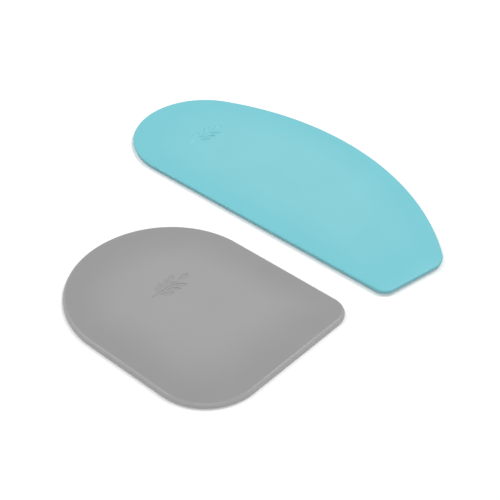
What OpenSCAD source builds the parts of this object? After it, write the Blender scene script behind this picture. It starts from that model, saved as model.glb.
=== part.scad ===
// A set of two bowl scrapers lying side by side on the table.
// Each one is a soft silicone blade moulded all round a stiff core plate with holes in it.

/* [Small scraper] */
// Length of the small scraper, from its round end to its square end
small_l = 120; // [104:1:150]
// Width of the small scraper; half of it is the radius of its round end
small_w = 95; // [84:1:110]
// Radius of the square end's corner on the near side
small_near_r = 27; // [16:0.5:36]
// Radius of the square end's corner on the far side
small_far_r = 11; // [8:0.5:18]
// Width of the slope under the small scraper's rim
small_under_w = 0.7; // [0.4:0.1:3]
// Height of the small scraper's widest line above the table
small_rim_z = 0.7; // [0.4:0.1:1.2]
// Width of the rounding over the small scraper's rim
small_round_w = 1.6; // [0.6:0.1:3]

/* [Large scraper] */
// Length of the large scraper over all
large_l = 196; // [180:1:215]
// Radius of the large scraper's round head
head_r = 38; // [34:0.5:42]
// Radius of the long curved edge that follows a bowl
back_r = 150; // [130:1:180]
// Straight length of the short end
end_l = 26; // [20:0.5:32]
// Slant of the short end, in degrees off square
end_slant = 10.7; // [4:0.1:18]
// Radius of the corner between the short end and the straight edge
heel_r = 6.5; // [5:0.5:12]
// Radius of the corner between the short end and the curved edge
tip_r = 13; // [10:0.5:18]
// Width of the slope under the large scraper's rim
large_under_w = 4; // [1:0.1:5]
// Height of the large scraper's widest line above the table
large_rim_z = 1.6; // [0.6:0.1:1.9]
// Width of the rounding over the large scraper's rim
large_round_w = 0.9; // [0.5:0.1:3]

/* [Blade thickness] */
// Thickness of both blades just inside the rim
blade_t = 2.6; // [2.4:0.1:4]
// How much thicker a blade is in its middle than at its rim
crown = 0.5; // [0.2:0.1:1.5]

/* [Core plate] */
// Thickness of the stiff core plate
core_t = 1; // [0.5:0.1:1.2]
// Silicone under the core plate
core_z = 0.8; // [0.5:0.1:0.9]
// Width of the soft lip between the core plate's edge and the rim
lip_w = 8; // [6:0.5:9]
// Smallest radius of a corner that an inset leaves
inset_min_r = 3; // [2:0.5:5]
// Diameter of the holes where silicone grips through the core
lock_d = 8; // [4:0.5:12]
// Spacing of the holes along a core plate
lock_pitch_x = 26; // [20:1:40]
// Spacing of the rows of holes
lock_pitch_y = 22; // [18:1:30]
// Plate left between a hole and the core plate's edge
lock_margin = 5; // [3:0.5:10]

/* [Pressed mark] */
// Depth of the mark pressed into each face
mark_depth = 0.35; // [0.2:0.05:0.5]
// Length of one grain of the ear
grain_l = 6.6; // [5:0.2:8]
// Width of one grain
grain_w = 2.8; // [2:0.1:3.2]
// Pairs of grains along the stalk
grain_pairs = 3; // [2:1:4]
// Distance from one pair of grains to the next
grain_pitch = 4.2; // [4:0.1:6]
// Angle of a grain from the stalk
grain_angle = 38; // [28:1:45]
// Clear face between the stalk's centre line and a grain
grain_gap = 1; // [0.8:0.1:1.5]
// Length of the bare stalk below the grains
stalk_l = 4; // [3:0.5:10]
// Width of the stalk
stalk_w = 0.9; // [0.6:0.1:1.4]
// How far the mark's middle lies past the centre of the round end, away from the near side
mark_y = 2.5; // [0:0.5:10]

/* [Layout] */
// Clear table between the two scrapers
pair_gap = 17; // [8:1:60]
// How far the large scraper's head reaches past the small one's round end
head_lead = 66; // [0:1:76]

/* [Hidden] */

small_color = [0.62, 0.62, 0.62];
large_color = [0.51, 0.82, 0.85];
core_color = [0.9, 0.89, 0.85];

// Steps along the arcs of an outline, over a rounded rim and across the crown
head_steps = 36;
back_steps = 24;
corner_steps = 10;
round_steps = 5;
crown_steps = 6;
hole_steps = 48;

// Share of a blade's size that is flat on top of the crown
crown_flat = 0.2;

// Small scraper: its own origin is the centre of its round end
small_round_r = small_w / 2;
small_end_x = small_l - small_round_r;
small_mid = [small_end_x - small_l / 2, 0];

// Large scraper: its own origin is the foot of its head on the straight edge.
// The short end runs up from the heel's circle to the tip's circle.
end_heading = 90 - end_slant;
end_dir = [cos(end_heading), sin(end_heading)];
end_out = [sin(end_heading), -cos(end_heading)];
tip_x = large_l - head_r - tip_r;
tip_c = [tip_x, heel_r + (heel_r - tip_r) * end_out.y + end_l * end_dir.y];
heel_x = tip_x - (heel_r - tip_r) * end_out.x - end_l * end_dir.x;
end_foot_x = heel_x + heel_r * tan(end_heading / 2);

// The curved edge's circle holds the head's circle and the tip's circle, and touches both
head_c = [0, head_r];
to_tip = tip_c - head_c;
to_tip_d = norm(to_tip);
back_along = (pow(back_r - head_r, 2) - pow(back_r - tip_r, 2) + pow(to_tip_d, 2)) / (2 * to_tip_d);
back_aside = sqrt(pow(back_r - head_r, 2) - pow(back_along, 2));
back_c = head_c + (back_along * to_tip + back_aside * [to_tip.y, -to_tip.x]) / to_tip_d;
back_start = atan2(tip_c.y - back_c.y, tip_c.x - back_c.x);
back_end = atan2(head_c.y - back_c.y, head_c.x - back_c.x);
large_w = back_c.y + back_r;
large_mid = [large_l / 2 - head_r, large_w / 2];

// Both scrapers about the middle of the ground that they cover together
small_at = [head_lead - head_r + small_round_r, -pair_gap - small_round_r];
set_high_x = max(large_l - head_r, small_at.x + small_end_x);
set_mid = [(set_high_x - head_r) / 2, (large_w + small_at.y - small_round_r) / 2];

// An outline is a list of arcs, each [centre, radius, from angle, to angle, steps, shared ends],
// joined by straights. Drawn further in, an arc keeps its centre and gives the inset off its radius.
// A corner between straights stops at inset_min_r and moves its centre instead.
function corner_r(r, inset) = max(r - inset, inset_min_r);

function small_corner(side, r, inset, from) = [
    [small_end_x - inset - r, side * (small_round_r - inset - r)], r, from, from + 90, corner_steps, 0
];

function small_arcs(inset) = [
    [[0, 0], small_round_r - inset, 90, 270, head_steps, 0],
    small_corner(-1, corner_r(small_near_r, inset), inset, 270),
    small_corner(1, corner_r(small_far_r, inset), inset, 0)
];

function heel_arc(r, inset) = [
    [end_foot_x - (inset + r) * tan(end_heading / 2), inset + r], r, -90, -end_slant, corner_steps, 0
];

function large_arcs(inset) = [
    [head_c, head_r - inset, back_end, 270, head_steps, 0],
    heel_arc(corner_r(heel_r, inset), inset),
    [tip_c, tip_r - inset, -end_slant, back_start, corner_steps, 0],
    [back_c, back_r - inset, back_start, back_end, back_steps, 1]
];

function arc_point(arc, i) =
    let (angle = arc[2] + (arc[3] - arc[2]) * i / arc[4]) arc[0] + arc[1] * [cos(angle), sin(angle)];

function outline(arcs) = [for (arc = arcs) for (i = [arc[5]:arc[4] - arc[5]]) arc_point(arc, i)];

// Section of a rim as [inset, height]: the slope underneath, then a quarter ellipse over the top
function rim_section(under_w, rim_z, round_w) = concat(
    [[under_w, 0]],
    [
        for (i = [0:round_steps])
            let (turn = 90 * i / round_steps)
                [round_w * (1 - cos(turn)), rim_z + (blade_t - rim_z) * sin(turn)]
    ]
);

// Height of the crowned face where the outline has shrunk to a share of its size
function crown_z(share) = blade_t + crown * sin(90 * min(1, (1 - share) / (1 - crown_flat)));

// Level outlines from the table up: the rim's section first, then the last of them shrunk over the crown
function blade_levels(arcs_at, section, mid) =
    let (face = outline(arcs_at(section[len(section) - 1][0])))
        concat(
            [for (s = section) [for (p = outline(arcs_at(s[0]))) [p.x, p.y, s[1]]]],
            [
                for (i = [1:crown_steps])
                    let (share = 1 - (1 - crown_flat) * i / crown_steps)
                        [for (p = face) let (q = mid + share * (p - mid)) [q.x, q.y, crown_z(share)]]
            ]
        );

// Closed skin over a stack of level outlines that all have as many points
module skin_over(levels) {
    n = len(levels[0]);
    top = (len(levels) - 1) * n;
    sides = [
        for (k = [0:len(levels) - 2])
            for (i = [0:n - 1])
                let (a = k * n + i, b = k * n + (i + 1) % n)
                    each [[a, a + n, b + n], [a, b + n, b]]
    ];
    polyhedron(
        points = [for (level = levels) each level],
        faces = concat([[for (i = [0:n - 1]) i]], sides, [[for (i = [n - 1:-1:0]) top + i]])
    );
}

// Distance of a point inside a convex outline from its nearest side
function depth_inside(edge, p) = min([
    for (i = [0:len(edge) - 1])
        let (side = edge[(i + 1) % len(edge)] - edge[i]) cross(side, p - edge[i]) / norm(side)
]);

// A core plate fills its scraper's outline up to the soft lip, with rows of holes about its middle
module core_plate(arcs, mid, l, w) {
    edge = outline(arcs);
    columns = floor(l / 2 / lock_pitch_x);
    rows = floor(w / 2 / lock_pitch_y);
    translate([0, 0, core_z])
        difference() {
            linear_extrude(core_t) polygon(edge);
            for (i = [-columns:columns], j = [-rows:rows]) {
                hole = mid + [i * lock_pitch_x, j * lock_pitch_y];
                if (depth_inside(edge, hole) > lock_d / 2 + lock_margin)
                    translate([hole.x, hole.y, -core_t])
                        cylinder(d = lock_d, h = 3 * core_t, $fn = hole_steps);
            }
        }
}

module small_core_plate() { core_plate(small_arcs(lip_w), small_mid, small_l, small_w); }
module large_core_plate() { core_plate(large_arcs(lip_w), large_mid, large_l, large_w); }

// One grain: the lens where two equal circles cross, with its foot at the origin
module grain() {
    r = (pow(grain_l, 2) + pow(grain_w, 2)) / (4 * grain_w);
    translate([grain_l / 2, 0])
        intersection() {
            translate([0, r - grain_w / 2]) circle(r, $fn = 4 * hole_steps);
            translate([0, grain_w / 2 - r]) circle(r, $fn = 4 * hole_steps);
        }
}

// An ear of wheat that stands along Y, cut down into a face at height face_z
module pressed_ear(face_z) {
    top_grain_at = stalk_l + grain_pairs * grain_pitch;
    ear_l = top_grain_at + grain_l;
    translate([0, mark_y, face_z - mark_depth])
        rotate(90)
            translate([-ear_l / 2, 0])
                linear_extrude(mark_depth + crown) {
                    translate([0, -stalk_w / 2]) square([top_grain_at - grain_gap, stalk_w]);
                    translate([top_grain_at, 0]) grain();
                    for (i = [0:grain_pairs - 1], side = [-1, 1])
                        translate([stalk_l + i * grain_pitch, side * grain_gap])
                            rotate(side * grain_angle)
                                grain();
                }
}

module small_scraper_blade() {
    mark_share = small_mid.x / (small_l / 2);
    color(small_color)
        translate(small_at - set_mid)
            difference() {
                skin_over(blade_levels(
                    function (inset) small_arcs(inset),
                    rim_section(small_under_w, small_rim_z, small_round_w),
                    small_mid
                ));
                small_core_plate();
                pressed_ear(crown_z(mark_share));
            }
}

module small_scraper_core() {
    color(core_color) translate(small_at - set_mid) small_core_plate();
}

module large_scraper_blade() {
    mark_share = large_mid.x / (large_l / 2);
    color(large_color)
        translate(-set_mid)
            difference() {
                skin_over(blade_levels(
                    function (inset) large_arcs(inset),
                    rim_section(large_under_w, large_rim_z, large_round_w),
                    large_mid
                ));
                large_core_plate();
                translate(head_c) pressed_ear(crown_z(mark_share));
            }
}

module large_scraper_core() {
    color(core_color) translate(-set_mid) large_core_plate();
}

small_scraper_blade();
small_scraper_core();
large_scraper_blade();
large_scraper_core();
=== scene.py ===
import bpy
import numpy as np
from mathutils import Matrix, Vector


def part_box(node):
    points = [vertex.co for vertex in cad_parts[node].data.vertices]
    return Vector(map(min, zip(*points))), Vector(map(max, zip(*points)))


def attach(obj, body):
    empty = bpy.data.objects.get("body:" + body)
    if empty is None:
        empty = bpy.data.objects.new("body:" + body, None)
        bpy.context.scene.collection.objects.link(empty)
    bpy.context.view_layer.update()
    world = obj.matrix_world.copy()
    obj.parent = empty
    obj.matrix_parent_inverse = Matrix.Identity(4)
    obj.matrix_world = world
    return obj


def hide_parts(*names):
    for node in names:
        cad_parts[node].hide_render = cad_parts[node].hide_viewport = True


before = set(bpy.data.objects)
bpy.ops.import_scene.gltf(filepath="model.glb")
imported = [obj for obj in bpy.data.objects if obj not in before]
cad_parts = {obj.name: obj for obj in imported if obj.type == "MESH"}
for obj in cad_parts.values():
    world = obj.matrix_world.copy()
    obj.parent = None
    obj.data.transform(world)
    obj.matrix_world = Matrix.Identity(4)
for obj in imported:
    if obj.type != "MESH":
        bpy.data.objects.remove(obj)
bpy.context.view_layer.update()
scene = bpy.context.scene
scene.view_settings.view_transform = "Standard"

# The camera stands in front of the small scraper's square end and looks down across both scrapers.
# Its lens is long, so the straight edges stay almost parallel in the picture.
PICTURE_W = 500
FOCAL_PX = 1160.0
SENSOR_W = 36.0
TURN_LEFT = 42.19
LOOK_DOWN = 39.02
CAMERA_AT = (0.3140, -0.3241, 0.3515)

camera_data = bpy.data.cameras.new("camera")
camera_data.sensor_width = SENSOR_W
camera_data.lens = FOCAL_PX * SENSOR_W / PICTURE_W
camera = bpy.data.objects.new("camera", camera_data)
camera.location = CAMERA_AT
camera.rotation_euler = (np.radians(90 - LOOK_DOWN), 0, np.radians(TURN_LEFT))
scene.collection.objects.link(camera)
scene.camera = camera

# The table is a plain white sheet that keeps the scrapers' soft shadow. Away from them it fades to an
# even white, and it reaches far past the picture's edge on all sides.
TABLE_SIZE = 12.0
TABLE_DROP = 0.00005
TABLE_WHITE = 0.8
TABLE_SEEN = 1.12
FADE_FROM = 0.4
FADE_TO = 0.9


def seen_directly(nodes, links):
    """1 for what the camera sees, straight, in a reflection or through glass, and 0 for light on its
    way: the largest of the three flags for those rays."""
    path = nodes.new("ShaderNodeLightPath")
    straight_or_glossy = nodes.new("ShaderNodeMath")
    straight_or_glossy.operation = "MAXIMUM"
    any_of_three = nodes.new("ShaderNodeMath")
    any_of_three.operation = "MAXIMUM"
    links.new(path.outputs["Is Camera Ray"], straight_or_glossy.inputs[0])
    links.new(path.outputs["Is Glossy Ray"], straight_or_glossy.inputs[1])
    links.new(straight_or_glossy.outputs[0], any_of_three.inputs[0])
    links.new(path.outputs["Is Transmission Ray"], any_of_three.inputs[1])
    return any_of_three.outputs[0]


def table_paint():
    """Matt white, a little brighter where it is seen than where it passes light on. From one distance
    off the middle to the next it turns into an even white glow, but only where it is seen."""
    material = bpy.data.materials.new("table_paint")
    material.use_nodes = True
    nodes, links = material.node_tree.nodes, material.node_tree.links
    nodes.clear()
    seen = seen_directly(nodes, links)
    white = nodes.new("ShaderNodeMapRange")
    white.inputs["To Min"].default_value = TABLE_WHITE
    white.inputs["To Max"].default_value = TABLE_SEEN
    plain = nodes.new("ShaderNodeBsdfDiffuse")
    far_white = nodes.new("ShaderNodeEmission")
    place = nodes.new("ShaderNodeTexCoord")
    distance = nodes.new("ShaderNodeVectorMath")
    distance.operation = "LENGTH"
    fade = nodes.new("ShaderNodeMapRange")
    fade.interpolation_type = "SMOOTHSTEP"
    fade.inputs["From Min"].default_value = FADE_FROM
    fade.inputs["From Max"].default_value = FADE_TO
    seen_far = nodes.new("ShaderNodeMath")
    seen_far.operation = "MULTIPLY"
    near_or_far = nodes.new("ShaderNodeMixShader")
    surface_out = nodes.new("ShaderNodeOutputMaterial")
    links.new(seen, white.inputs["Value"])
    links.new(white.outputs[0], plain.inputs["Color"])
    links.new(place.outputs["Object"], distance.inputs[0])
    links.new(distance.outputs["Value"], fade.inputs["Value"])
    links.new(fade.outputs[0], seen_far.inputs[0])
    links.new(seen, seen_far.inputs[1])
    links.new(seen_far.outputs[0], near_or_far.inputs["Fac"])
    links.new(plain.outputs[0], near_or_far.inputs[1])
    links.new(far_white.outputs[0], near_or_far.inputs[2])
    links.new(near_or_far.outputs[0], surface_out.inputs["Surface"])
    return material


half = TABLE_SIZE / 2
table_corners = [(-half, -half), (half, -half), (half, half), (-half, half)]
table_mesh = bpy.data.meshes.new("table")
table_mesh.from_pydata([(x, y, -TABLE_DROP) for x, y in table_corners], [], [(0, 1, 2, 3)])
table_mesh.materials.append(table_paint())
table = bpy.data.objects.new("table", table_mesh)
scene.collection.objects.link(table)

# The light is an even white room with three soft boxes: at the left, behind, and a large one in front.
# The first two glint on the near rims and leave the soft shadow there, and the third lights the rims.
ROOM_LIGHT = 0.38
ROOM_SEEN = 1.0
BOXES = {
    "left_box": {"size": 0.4, "power": 3.4, "at": (-0.685, -0.06, 0.98)},
    "back_box": {"size": 0.4, "power": 4.9, "at": (0.06, 0.66, 0.97)},
    "front_box": {"size": 0.9, "power": 4.8, "at": (0.62, -0.60, 0.96)},
}


def white_room():
    """World that lights the scrapers at one level and shows pure white where it is seen."""
    world = bpy.data.worlds.new("room")
    world.use_nodes = True
    nodes, links = world.node_tree.nodes, world.node_tree.links
    nodes.clear()
    level = nodes.new("ShaderNodeMapRange")
    level.inputs["To Min"].default_value = ROOM_LIGHT
    level.inputs["To Max"].default_value = ROOM_SEEN
    room = nodes.new("ShaderNodeBackground")
    room_out = nodes.new("ShaderNodeOutputWorld")
    links.new(seen_directly(nodes, links), level.inputs["Value"])
    links.new(level.outputs[0], room.inputs["Strength"])
    links.new(room.outputs[0], room_out.inputs["Surface"])
    return world


def soft_box(name, size, power, at):
    """Square lamp that faces the middle of the table. Its tilt is the angle of its aim off straight
    down, and its turn is the heading of the aim."""
    lamp = bpy.data.lights.new(name, "AREA")
    lamp.size = size
    lamp.energy = power
    box = bpy.data.objects.new(name, lamp)
    box.location = at
    aim = -np.array(at) / np.linalg.norm(at)
    box.rotation_euler = (np.arccos(-aim[2]), 0, np.arctan2(-aim[0], aim[1]))
    scene.collection.objects.link(box)


scene.world = white_room()
for box_name, box_facts in BOXES.items():
    soft_box(box_name, **box_facts)

# Small scraper's blade: grey silicone moulded all round its core, with one round and one square end.
# Its rim is rounded over from above and lies close to the table, and an ear of wheat is pressed into
# the face. Its colour holds painted light: a lighter rim as painted rim light, a lighter middle as
# painted sheen, and painted shade in the ear.
SMALL_NEAR_R = 0.027
SMALL_FAR_R = 0.011
SMALL_UNDER_W = 0.0007
SMALL_RIM_Z = 0.0007
SMALL_ROUND_W = 0.0016
BLADE_T = 0.0026
CROWN = 0.0005
CROWN_FLAT = 0.2

EDGE_STEP = 0.0008
ARC_STEPS_MIN = 10
SECTION_STEPS = 24
SMOOTH_PASSES = 4
UNDER_RINGS = 9
UNDER_FROM = 0.1
UNDER_TO = 0.9
FACE_RINGS = 30
FACE_SPREAD = 0.8

EAR_DEPTH = 0.00035
EAR_SOFT = 0.00025
EAR_Y = 0.0025
EAR_PAD_R = 0.0145
EAR_RING_STEP = 0.0002
GRAIN_L = 0.0066
GRAIN_W = 0.0028
GRAIN_PAIRS = 3
GRAIN_PITCH = 0.0042
GRAIN_ANGLE = 38
GRAIN_GAP = 0.001
STALK_L = 0.004
STALK_W = 0.0009

# The rim colour is painted rim light: the very edge is lighter than the lip's own grey.
GREY_PAINTED_RIM_LIGHT = (0.460, 0.460, 0.460)
GREY_LIP = (0.318, 0.318, 0.318)
# The middle colour is painted sheen: the lip's grey lightened towards the middle.
GREY_PAINTED_SHEEN = (0.375, 0.375, 0.375)
SILICONE_IOR = 1.41
# How far the painted rim light reaches onto the rim, and how far in the painted sheen becomes full, as
# shares of the way inward.
RIM_REACH = 0.02
LIGHT_FROM = 0.6
CLOUD_SCALE = 45
CLOUD_DETAIL = 3
CLOUD_DEPTH = 0.03
SHEEN_LOW = 0.32
SHEEN_HIGH = 0.38
MOULD_GRAIN_SCALE = 2600
MOULD_GRAIN_DETAIL = 2
MOULD_GRAIN_RELIEF = 0.00006
MOULD_GRAIN_SHARE = 0.25
# Painted shade in the pressed ear: its colour is multiplied by this.
PAINTED_EAR_SHADE = 0.92


def rim_line(arcs, step):
    """Points and outward normals round a blade. An arc [centre x, centre y, radius, from, to] is its
    centre plus its radius times (cos, sin) of the angle. Where a straight joins it to the next arc,
    the straight's points lie evenly between the two and keep the arc's last normal."""
    points, normals = [], []
    for arc, following in zip(arcs, arcs[1:] + arcs[:1]):
        x, y, r, start, end = arc
        steps = int(max(ARC_STEPS_MIN, r * np.radians(end - start) / step))
        turns = np.radians(np.linspace(start, end, 2 + steps))
        out = np.c_[np.cos(turns), np.sin(turns)]
        on_arc = np.array([x, y]) + r * out
        points.append(on_arc[:-1])
        normals.append(out[:-1])
        first = np.radians(following[3])
        target = np.array(following[:2]) + following[2] * np.array([np.cos(first), np.sin(first)])
        straight = target - on_arc[-1]
        gap = np.linalg.norm(straight)
        if gap > step:
            along = np.linspace(0, 1, 1 + int(gap / step), endpoint=False)[:, None]
            points.append(on_arc[-1] + along * straight)
            normals.append(np.repeat(out[-1:], len(along), axis=0))
    return np.vstack(points), np.vstack(normals)


def rim_section(under_w, rim_z, round_w):
    """Rim in section, as inset and height: a straight slope from the underside up to the widest line,
    then a quarter ellipse to the face. Averaging neighbours along the line rounds both creases, and
    every second point is kept."""
    rise = np.linspace(0, 1, SECTION_STEPS)[:, None]
    slope = np.array([under_w, 0]) + rise * np.array([-under_w, rim_z])
    turn = np.linspace(0, np.pi / 2, SECTION_STEPS)[1:]
    over = np.c_[round_w * (1 - np.cos(turn)), rim_z + (BLADE_T - rim_z) * np.sin(turn)]
    line = np.vstack([slope, over])
    for _ in range(SMOOTH_PASSES):
        line[1:-1] = (line[:-2] + 2 * line[1:-1] + line[2:]) / 4
    return line[::2]


def rim_share(xy, face_edge, middle):
    """Share of the way from the middle to the rim: each point's distance from the middle over the
    rim's distance in the same direction, read between the rim's own points."""
    to_edge = face_edge - middle
    angle = np.arctan2(to_edge[:, 1], to_edge[:, 0])
    order = np.argsort(angle)
    to_point = xy - middle
    reach = np.interp(
        np.arctan2(to_point[..., 1], to_point[..., 0]),
        angle[order],
        np.linalg.norm(to_edge, axis=1)[order],
        period=2 * np.pi,
    )
    return np.linalg.norm(to_point, axis=-1) / reach


def crown_height(xy, face_edge, middle):
    """Height of the face: the blade's thickness plus the crown times the sine of a quarter turn, which
    runs from the rim inwards and ends where the flat middle starts."""
    way_in = (1 - rim_share(xy, face_edge, middle)) / (1 - CROWN_FLAT)
    return BLADE_T + CROWN * np.sin(np.pi / 2 * np.clip(way_in, 0, 1))


def ear_depth(xy, centre):
    """Depth of the pressed ear: full inside the stalk or the nearest grain, easing to nothing over a
    soft edge as 3e squared less 2e cubed. The stalk is a narrow bar along Y, and a grain is where two
    equal circles cross."""
    top_at = STALK_L + GRAIN_PAIRS * GRAIN_PITCH
    along = xy[..., 1] - centre[1] + (top_at + GRAIN_L) / 2
    aside = xy[..., 0] - centre[0]
    stalk_half = (top_at - GRAIN_GAP) / 2
    outside = np.maximum(np.abs(along - stalk_half) - stalk_half, np.abs(aside) - STALK_W / 2)
    circle_r = (GRAIN_L**2 + GRAIN_W**2) / (4 * GRAIN_W)
    grains = [(top_at, 0, 0)]
    grains += [
        (STALK_L + pair * GRAIN_PITCH, side * GRAIN_GAP, side * GRAIN_ANGLE)
        for pair in range(GRAIN_PAIRS)
        for side in (-1, 1)
    ]
    for foot, shift, lean in grains:
        c, s = np.cos(np.radians(lean)), np.sin(np.radians(lean))
        u = c * (along - foot) + s * (aside - shift) - GRAIN_L / 2
        v = -s * (along - foot) + c * (aside - shift)
        lens = np.hypot(u, np.abs(v) + circle_r - GRAIN_W / 2) - circle_r
        outside = np.minimum(outside, lens)
    ease = np.clip(0.5 - outside / EAR_SOFT, 0, 1)
    return EAR_DEPTH * ease**2 * (3 - 2 * ease)


def face_height(xy, face_edge, middle, ear_at):
    """Height of the crowned face less the depth of the pressed ear."""
    return crown_height(xy, face_edge, middle) - ear_depth(xy, ear_at)


def blade_rings(edge, normals, section, middle, ear_at):
    """Rings of points round a blade, from the underside to the ear. Underneath, they grow from the
    middle towards the foot of the rim. Up the rim, each is the outline less the section's inset. Over
    the face, they blend from the outline to circles about the ear, and lie closest in the ear."""
    around = len(edge)
    foot = edge - section[0, 0] * normals
    under = [
        np.c_[middle + grow * (foot - middle), np.zeros(around)]
        for grow in np.linspace(UNDER_FROM, UNDER_TO, UNDER_RINGS)
    ]
    rim = [np.c_[edge - inset * normals, np.full(around, height)] for inset, height in section]
    face_edge = edge - section[-1, 0] * normals
    toward = face_edge - ear_at
    toward /= np.linalg.norm(toward, axis=1)[:, None]
    pad_edge = ear_at + EAR_PAD_R * toward
    ways_in = np.linspace(0, 1, FACE_RINGS)[1:] ** FACE_SPREAD
    pad_radii = np.arange(EAR_PAD_R, EAR_RING_STEP, -EAR_RING_STEP)[1:]
    to_pad = [face_edge + way * (pad_edge - face_edge) for way in ways_in]
    over_pad = [ear_at + r * toward for r in pad_radii]
    face = np.array(to_pad + over_pad)
    face_z = face_height(face, face_edge, middle, ear_at)
    return np.vstack([np.array(under), np.array(rim), np.dstack([face, face_z])])


def ring_faces(levels, around):
    """Faces over a stack of rings: a square between neighbours on two rings, and at each end a fan of
    triangles to a pole. The two poles are the points after the last ring."""
    k, i = np.meshgrid(np.arange(levels - 1), np.arange(around), indexing="ij")
    j = (i + 1) % around
    squares = np.stack([k * around + i, k * around + j, (k + 1) * around + j, (k + 1) * around + i], -1)
    low_pole = np.full(around, levels * around)
    ring = np.arange(around)
    after = (ring + 1) % around
    last = (levels - 1) * around
    low_fan = np.c_[low_pole, after, ring]
    high_fan = np.c_[low_pole + 1, last + ring, last + after]
    return squares.reshape(-1, 4).tolist() + low_fan.tolist() + high_fan.tolist()


def blade(name, arcs, section, ear_at, body, cad_node):
    """Closed blade: its rings, and a pole in the middle underneath and in the middle of the ear. For
    the silicone, each point carries how far in from the rim it lies, as a share of the way to the
    middle, and how deep it is pressed, as a share of the ear's depth."""
    edge, normals = rim_line(arcs, EDGE_STEP)
    middle = (edge.min(0) + edge.max(0)) / 2
    face_edge = edge - section[-1, 0] * normals
    rings = blade_rings(edge, normals, section, middle, ear_at)
    ear_z = face_height(ear_at[None], face_edge, middle, ear_at)[0]
    points = np.vstack([rings.reshape(-1, 3), [*middle, 0], [*ear_at, ear_z]])
    mesh = bpy.data.meshes.new(name)
    mesh.from_pydata(points.tolist(), [], ring_faces(*rings.shape[:2]))
    mesh.polygons.foreach_set("use_smooth", np.ones(len(mesh.polygons), dtype=bool))
    # The two shares steer the silicone's painted rim light, painted sheen and painted ear shade.
    on_face = points[:, 2] > BLADE_T
    shares = {
        "inward": 1 - rim_share(points[:, :2], face_edge, middle),
        "pressed": on_face * ear_depth(points[:, :2], ear_at) / EAR_DEPTH,
    }
    for share_name, values in shares.items():
        share = mesh.attributes.new(share_name, "FLOAT", "POINT")
        share.data.foreach_set("value", values)
    mesh.update()
    piece = bpy.data.objects.new(name, mesh)
    scene.collection.objects.link(piece)
    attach(piece, body)
    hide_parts(cad_node)
    return piece


def satin_silicone(name, rim_light_colour, lip_colour, painted_sheen_colour):
    """Moulded silicone. The lip's colour turns to the rim's at the very edge, a painted rim light, and
    to the middle's further in, a painted sheen; a painted shade darkens the pressed ear. A faint
    cloudiness changes its lightness and its dull sheen from place to place, and the mould leaves a very
    fine grain."""
    material = bpy.data.materials.new(name)
    material.use_nodes = True
    nodes, links = material.node_tree.nodes, material.node_tree.links
    skin = nodes["Principled BSDF"]
    skin.inputs["IOR"].default_value = SILICONE_IOR

    # Painted sheen: the colour lightens from the lip's towards the middle's going inward.
    inward = nodes.new("ShaderNodeAttribute")
    inward.attribute_name = "inward"
    painted_sheen_share = nodes.new("ShaderNodeMapRange")
    painted_sheen_share.interpolation_type = "SMOOTHSTEP"
    painted_sheen_share.inputs["From Max"].default_value = LIGHT_FROM
    tint = nodes.new("ShaderNodeMix")
    tint.data_type = "RGBA"
    tint.inputs["A"].default_value = (*lip_colour, 1)
    tint.inputs["B"].default_value = (*painted_sheen_colour, 1)
    # Painted rim light: at the very edge the colour turns to the rim's.
    off_rim = nodes.new("ShaderNodeMapRange")
    off_rim.inputs["From Min"].default_value = -RIM_REACH
    off_rim.inputs["From Max"].default_value = 0
    edged = nodes.new("ShaderNodeMix")
    edged.data_type = "RGBA"
    edged.inputs["A"].default_value = (*rim_light_colour, 1)
    links.new(inward.outputs["Fac"], painted_sheen_share.inputs["Value"])
    links.new(painted_sheen_share.outputs[0], tint.inputs["Factor"])
    links.new(inward.outputs["Fac"], off_rim.inputs["Value"])
    links.new(off_rim.outputs[0], edged.inputs["Factor"])
    links.new(tint.outputs["Result"], edged.inputs["B"])

    place = nodes.new("ShaderNodeTexCoord")
    cloud = nodes.new("ShaderNodeTexNoise")
    cloud.inputs["Scale"].default_value = CLOUD_SCALE
    cloud.inputs["Detail"].default_value = CLOUD_DETAIL
    lightness = nodes.new("ShaderNodeMapRange")
    lightness.inputs["To Min"].default_value = 1 - CLOUD_DEPTH
    lightness.inputs["To Max"].default_value = 1 + CLOUD_DEPTH
    sheen = nodes.new("ShaderNodeMapRange")
    sheen.inputs["To Min"].default_value = SHEEN_LOW
    sheen.inputs["To Max"].default_value = SHEEN_HIGH
    links.new(place.outputs["Object"], cloud.inputs["Vector"])
    links.new(cloud.outputs["Fac"], lightness.inputs["Value"])
    links.new(cloud.outputs["Fac"], sheen.inputs["Value"])
    links.new(sheen.outputs[0], skin.inputs["Roughness"])

    # Painted shade: the pressed ear's colour is darkened, more where it is pressed deeper.
    pressed = nodes.new("ShaderNodeAttribute")
    pressed.attribute_name = "pressed"
    in_ear = nodes.new("ShaderNodeMapRange")
    in_ear.inputs["To Min"].default_value = 1.0
    in_ear.inputs["To Max"].default_value = PAINTED_EAR_SHADE
    shade = nodes.new("ShaderNodeMath")
    shade.operation = "MULTIPLY"
    shaded = nodes.new("ShaderNodeHueSaturation")
    links.new(pressed.outputs["Fac"], in_ear.inputs["Value"])
    links.new(lightness.outputs[0], shade.inputs[0])
    links.new(in_ear.outputs[0], shade.inputs[1])
    links.new(shade.outputs[0], shaded.inputs["Value"])
    links.new(edged.outputs["Result"], shaded.inputs["Color"])
    links.new(shaded.outputs[0], skin.inputs["Base Color"])

    mould_grain = nodes.new("ShaderNodeTexNoise")
    mould_grain.inputs["Scale"].default_value = MOULD_GRAIN_SCALE
    mould_grain.inputs["Detail"].default_value = MOULD_GRAIN_DETAIL
    relief = nodes.new("ShaderNodeBump")
    relief.inputs["Strength"].default_value = MOULD_GRAIN_SHARE
    relief.inputs["Distance"].default_value = MOULD_GRAIN_RELIEF
    links.new(place.outputs["Object"], mould_grain.inputs["Vector"])
    links.new(mould_grain.outputs["Fac"], relief.inputs["Height"])
    links.new(relief.outputs["Normal"], skin.inputs["Normal"])
    return material


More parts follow.
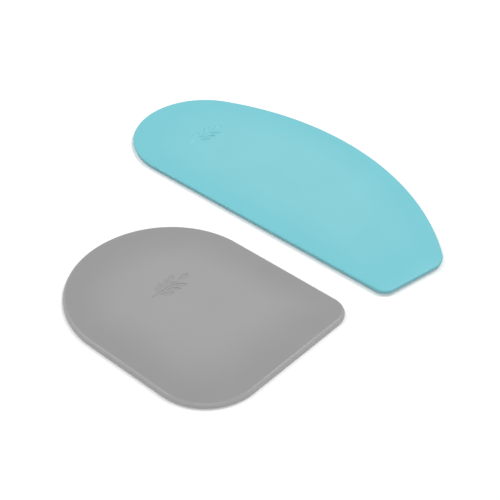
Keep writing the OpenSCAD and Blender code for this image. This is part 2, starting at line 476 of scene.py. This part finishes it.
low, high = (np.array(corner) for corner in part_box("small_scraper_blade"))
small_round_r = (high[1] - low[1]) / 2
small_round_at = np.array([low[0] + small_round_r, (low[1] + high[1]) / 2])
small_arcs = [
    (*small_round_at, small_round_r, 90, 270),
    (high[0] - SMALL_NEAR_R, low[1] + SMALL_NEAR_R, SMALL_NEAR_R, -90, 0),
    (high[0] - SMALL_FAR_R, high[1] - SMALL_FAR_R, SMALL_FAR_R, 0, 90),
]
small_blade = blade(
    "small_blade",
    small_arcs,
    rim_section(SMALL_UNDER_W, SMALL_RIM_Z, SMALL_ROUND_W),
    small_round_at + np.array([0, EAR_Y]),
    "small_scraper",
    "small_scraper_blade",
)
grey_silicone = satin_silicone("grey_silicone", GREY_PAINTED_RIM_LIGHT, GREY_LIP, GREY_PAINTED_SHEEN)
small_blade.data.materials.append(grey_silicone)

# Small scraper's core: a stiff moulded nylon plate, sealed inside the blade.
# Silicone runs through its holes and holds it in place.
NYLON = (0.79, 0.77, 0.69)
NYLON_DULLNESS = 0.5
NYLON_CLOUD_SCALE = 60
NYLON_CLOUD_SHADE = 0.96


def moulded_nylon(name, colour):
    """Natural nylon: an off-white with faint clouds a shade darker, and a dull surface."""
    material = bpy.data.materials.new(name)
    material.use_nodes = True
    nodes, links = material.node_tree.nodes, material.node_tree.links
    skin = nodes["Principled BSDF"]
    skin.inputs["Roughness"].default_value = NYLON_DULLNESS
    place = nodes.new("ShaderNodeTexCoord")
    cloud = nodes.new("ShaderNodeTexNoise")
    cloud.inputs["Scale"].default_value = NYLON_CLOUD_SCALE
    tint = nodes.new("ShaderNodeMix")
    tint.data_type = "RGBA"
    tint.inputs["A"].default_value = (*(NYLON_CLOUD_SHADE * c for c in colour), 1)
    tint.inputs["B"].default_value = (*colour, 1)
    links.new(place.outputs["Object"], cloud.inputs["Vector"])
    links.new(cloud.outputs["Fac"], tint.inputs["Factor"])
    links.new(tint.outputs["Result"], skin.inputs["Base Color"])
    return material


core_nylon = moulded_nylon("core_nylon", NYLON)
small_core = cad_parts["small_scraper_core"]
small_core.data.materials.clear()
small_core.data.materials.append(core_nylon)

# Large scraper's blade: teal silicone moulded all round its core, a half-oval with one straight edge.
# Its underside slopes up to a thin rim that stands clear of the table, and its rim is as deep a teal as
# its lip. Its middle is lightened as a painted sheen, and its pressed ear darkened as painted shade.
HEAD_R = 0.038
BACK_R = 0.150
END_L = 0.026
END_SLANT = 10.7
HEEL_R = 0.0065
TIP_R = 0.013
LARGE_UNDER_W = 0.004
LARGE_RIM_Z = 0.0016
LARGE_ROUND_W = 0.0009
# The middle colour is painted sheen: the lip's teal lightened towards the middle.
TEAL_LIP = (0.190, 0.610, 0.685)
TEAL_PAINTED_SHEEN = (0.232, 0.630, 0.695)


def large_outline(low, high):
    """Arcs round the large blade inside its box, and the head's centre. The head touches the box at
    the left and below, the tip at the right and the heel below, and the short end is the tangent to
    heel and tip. The back's circle holds the head's and the tip's circles and touches both, so its
    centre lies its radius less theirs away from each."""
    head = np.array([low[0] + HEAD_R, low[1] + HEAD_R])
    end_turn = np.radians(90 - END_SLANT)
    end_dir = np.array([np.cos(end_turn), np.sin(end_turn)])
    end_out = np.array([np.sin(end_turn), -np.cos(end_turn)])
    heel_to_tip = (HEEL_R - TIP_R) * end_out + END_L * end_dir
    heel = np.array([high[0] - TIP_R - heel_to_tip[0], low[1] + HEEL_R])
    tip = heel + heel_to_tip
    to_tip = tip - head
    reach = np.linalg.norm(to_tip)
    back_along = ((BACK_R - HEAD_R) ** 2 - (BACK_R - TIP_R) ** 2 + reach**2) / (2 * reach)
    back_aside = np.sqrt((BACK_R - HEAD_R) ** 2 - back_along**2)
    to_side = np.array([to_tip[1], -to_tip[0]])
    back = head + (back_along * to_tip + back_aside * to_side) / reach
    back_start = np.degrees(np.arctan2(*(tip - back)[::-1]))
    back_end = np.degrees(np.arctan2(*(head - back)[::-1]))
    arcs = [
        (*head, HEAD_R, back_end, 270),
        (*heel, HEEL_R, -90, -END_SLANT),
        (*tip, TIP_R, -END_SLANT, back_start),
        (*back, BACK_R, back_start, back_end),
    ]
    return arcs, head


low, high = (np.array(corner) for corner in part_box("large_scraper_blade"))
large_arcs, head_at = large_outline(low, high)
large_blade = blade(
    "large_blade",
    large_arcs,
    rim_section(LARGE_UNDER_W, LARGE_RIM_Z, LARGE_ROUND_W),
    head_at + np.array([0, EAR_Y]),
    "large_scraper",
    "large_scraper_blade",
)
teal_silicone = satin_silicone("teal_silicone", TEAL_LIP, TEAL_LIP, TEAL_PAINTED_SHEEN)
large_blade.data.materials.append(teal_silicone)

# Large scraper's core: the same nylon plate in the half-oval's shape, sealed inside the blade.
# It stops short of the rim, which leaves the lip soft.
large_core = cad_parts["large_scraper_core"]
large_core.data.materials.clear()
large_core.data.materials.append(core_nylon)
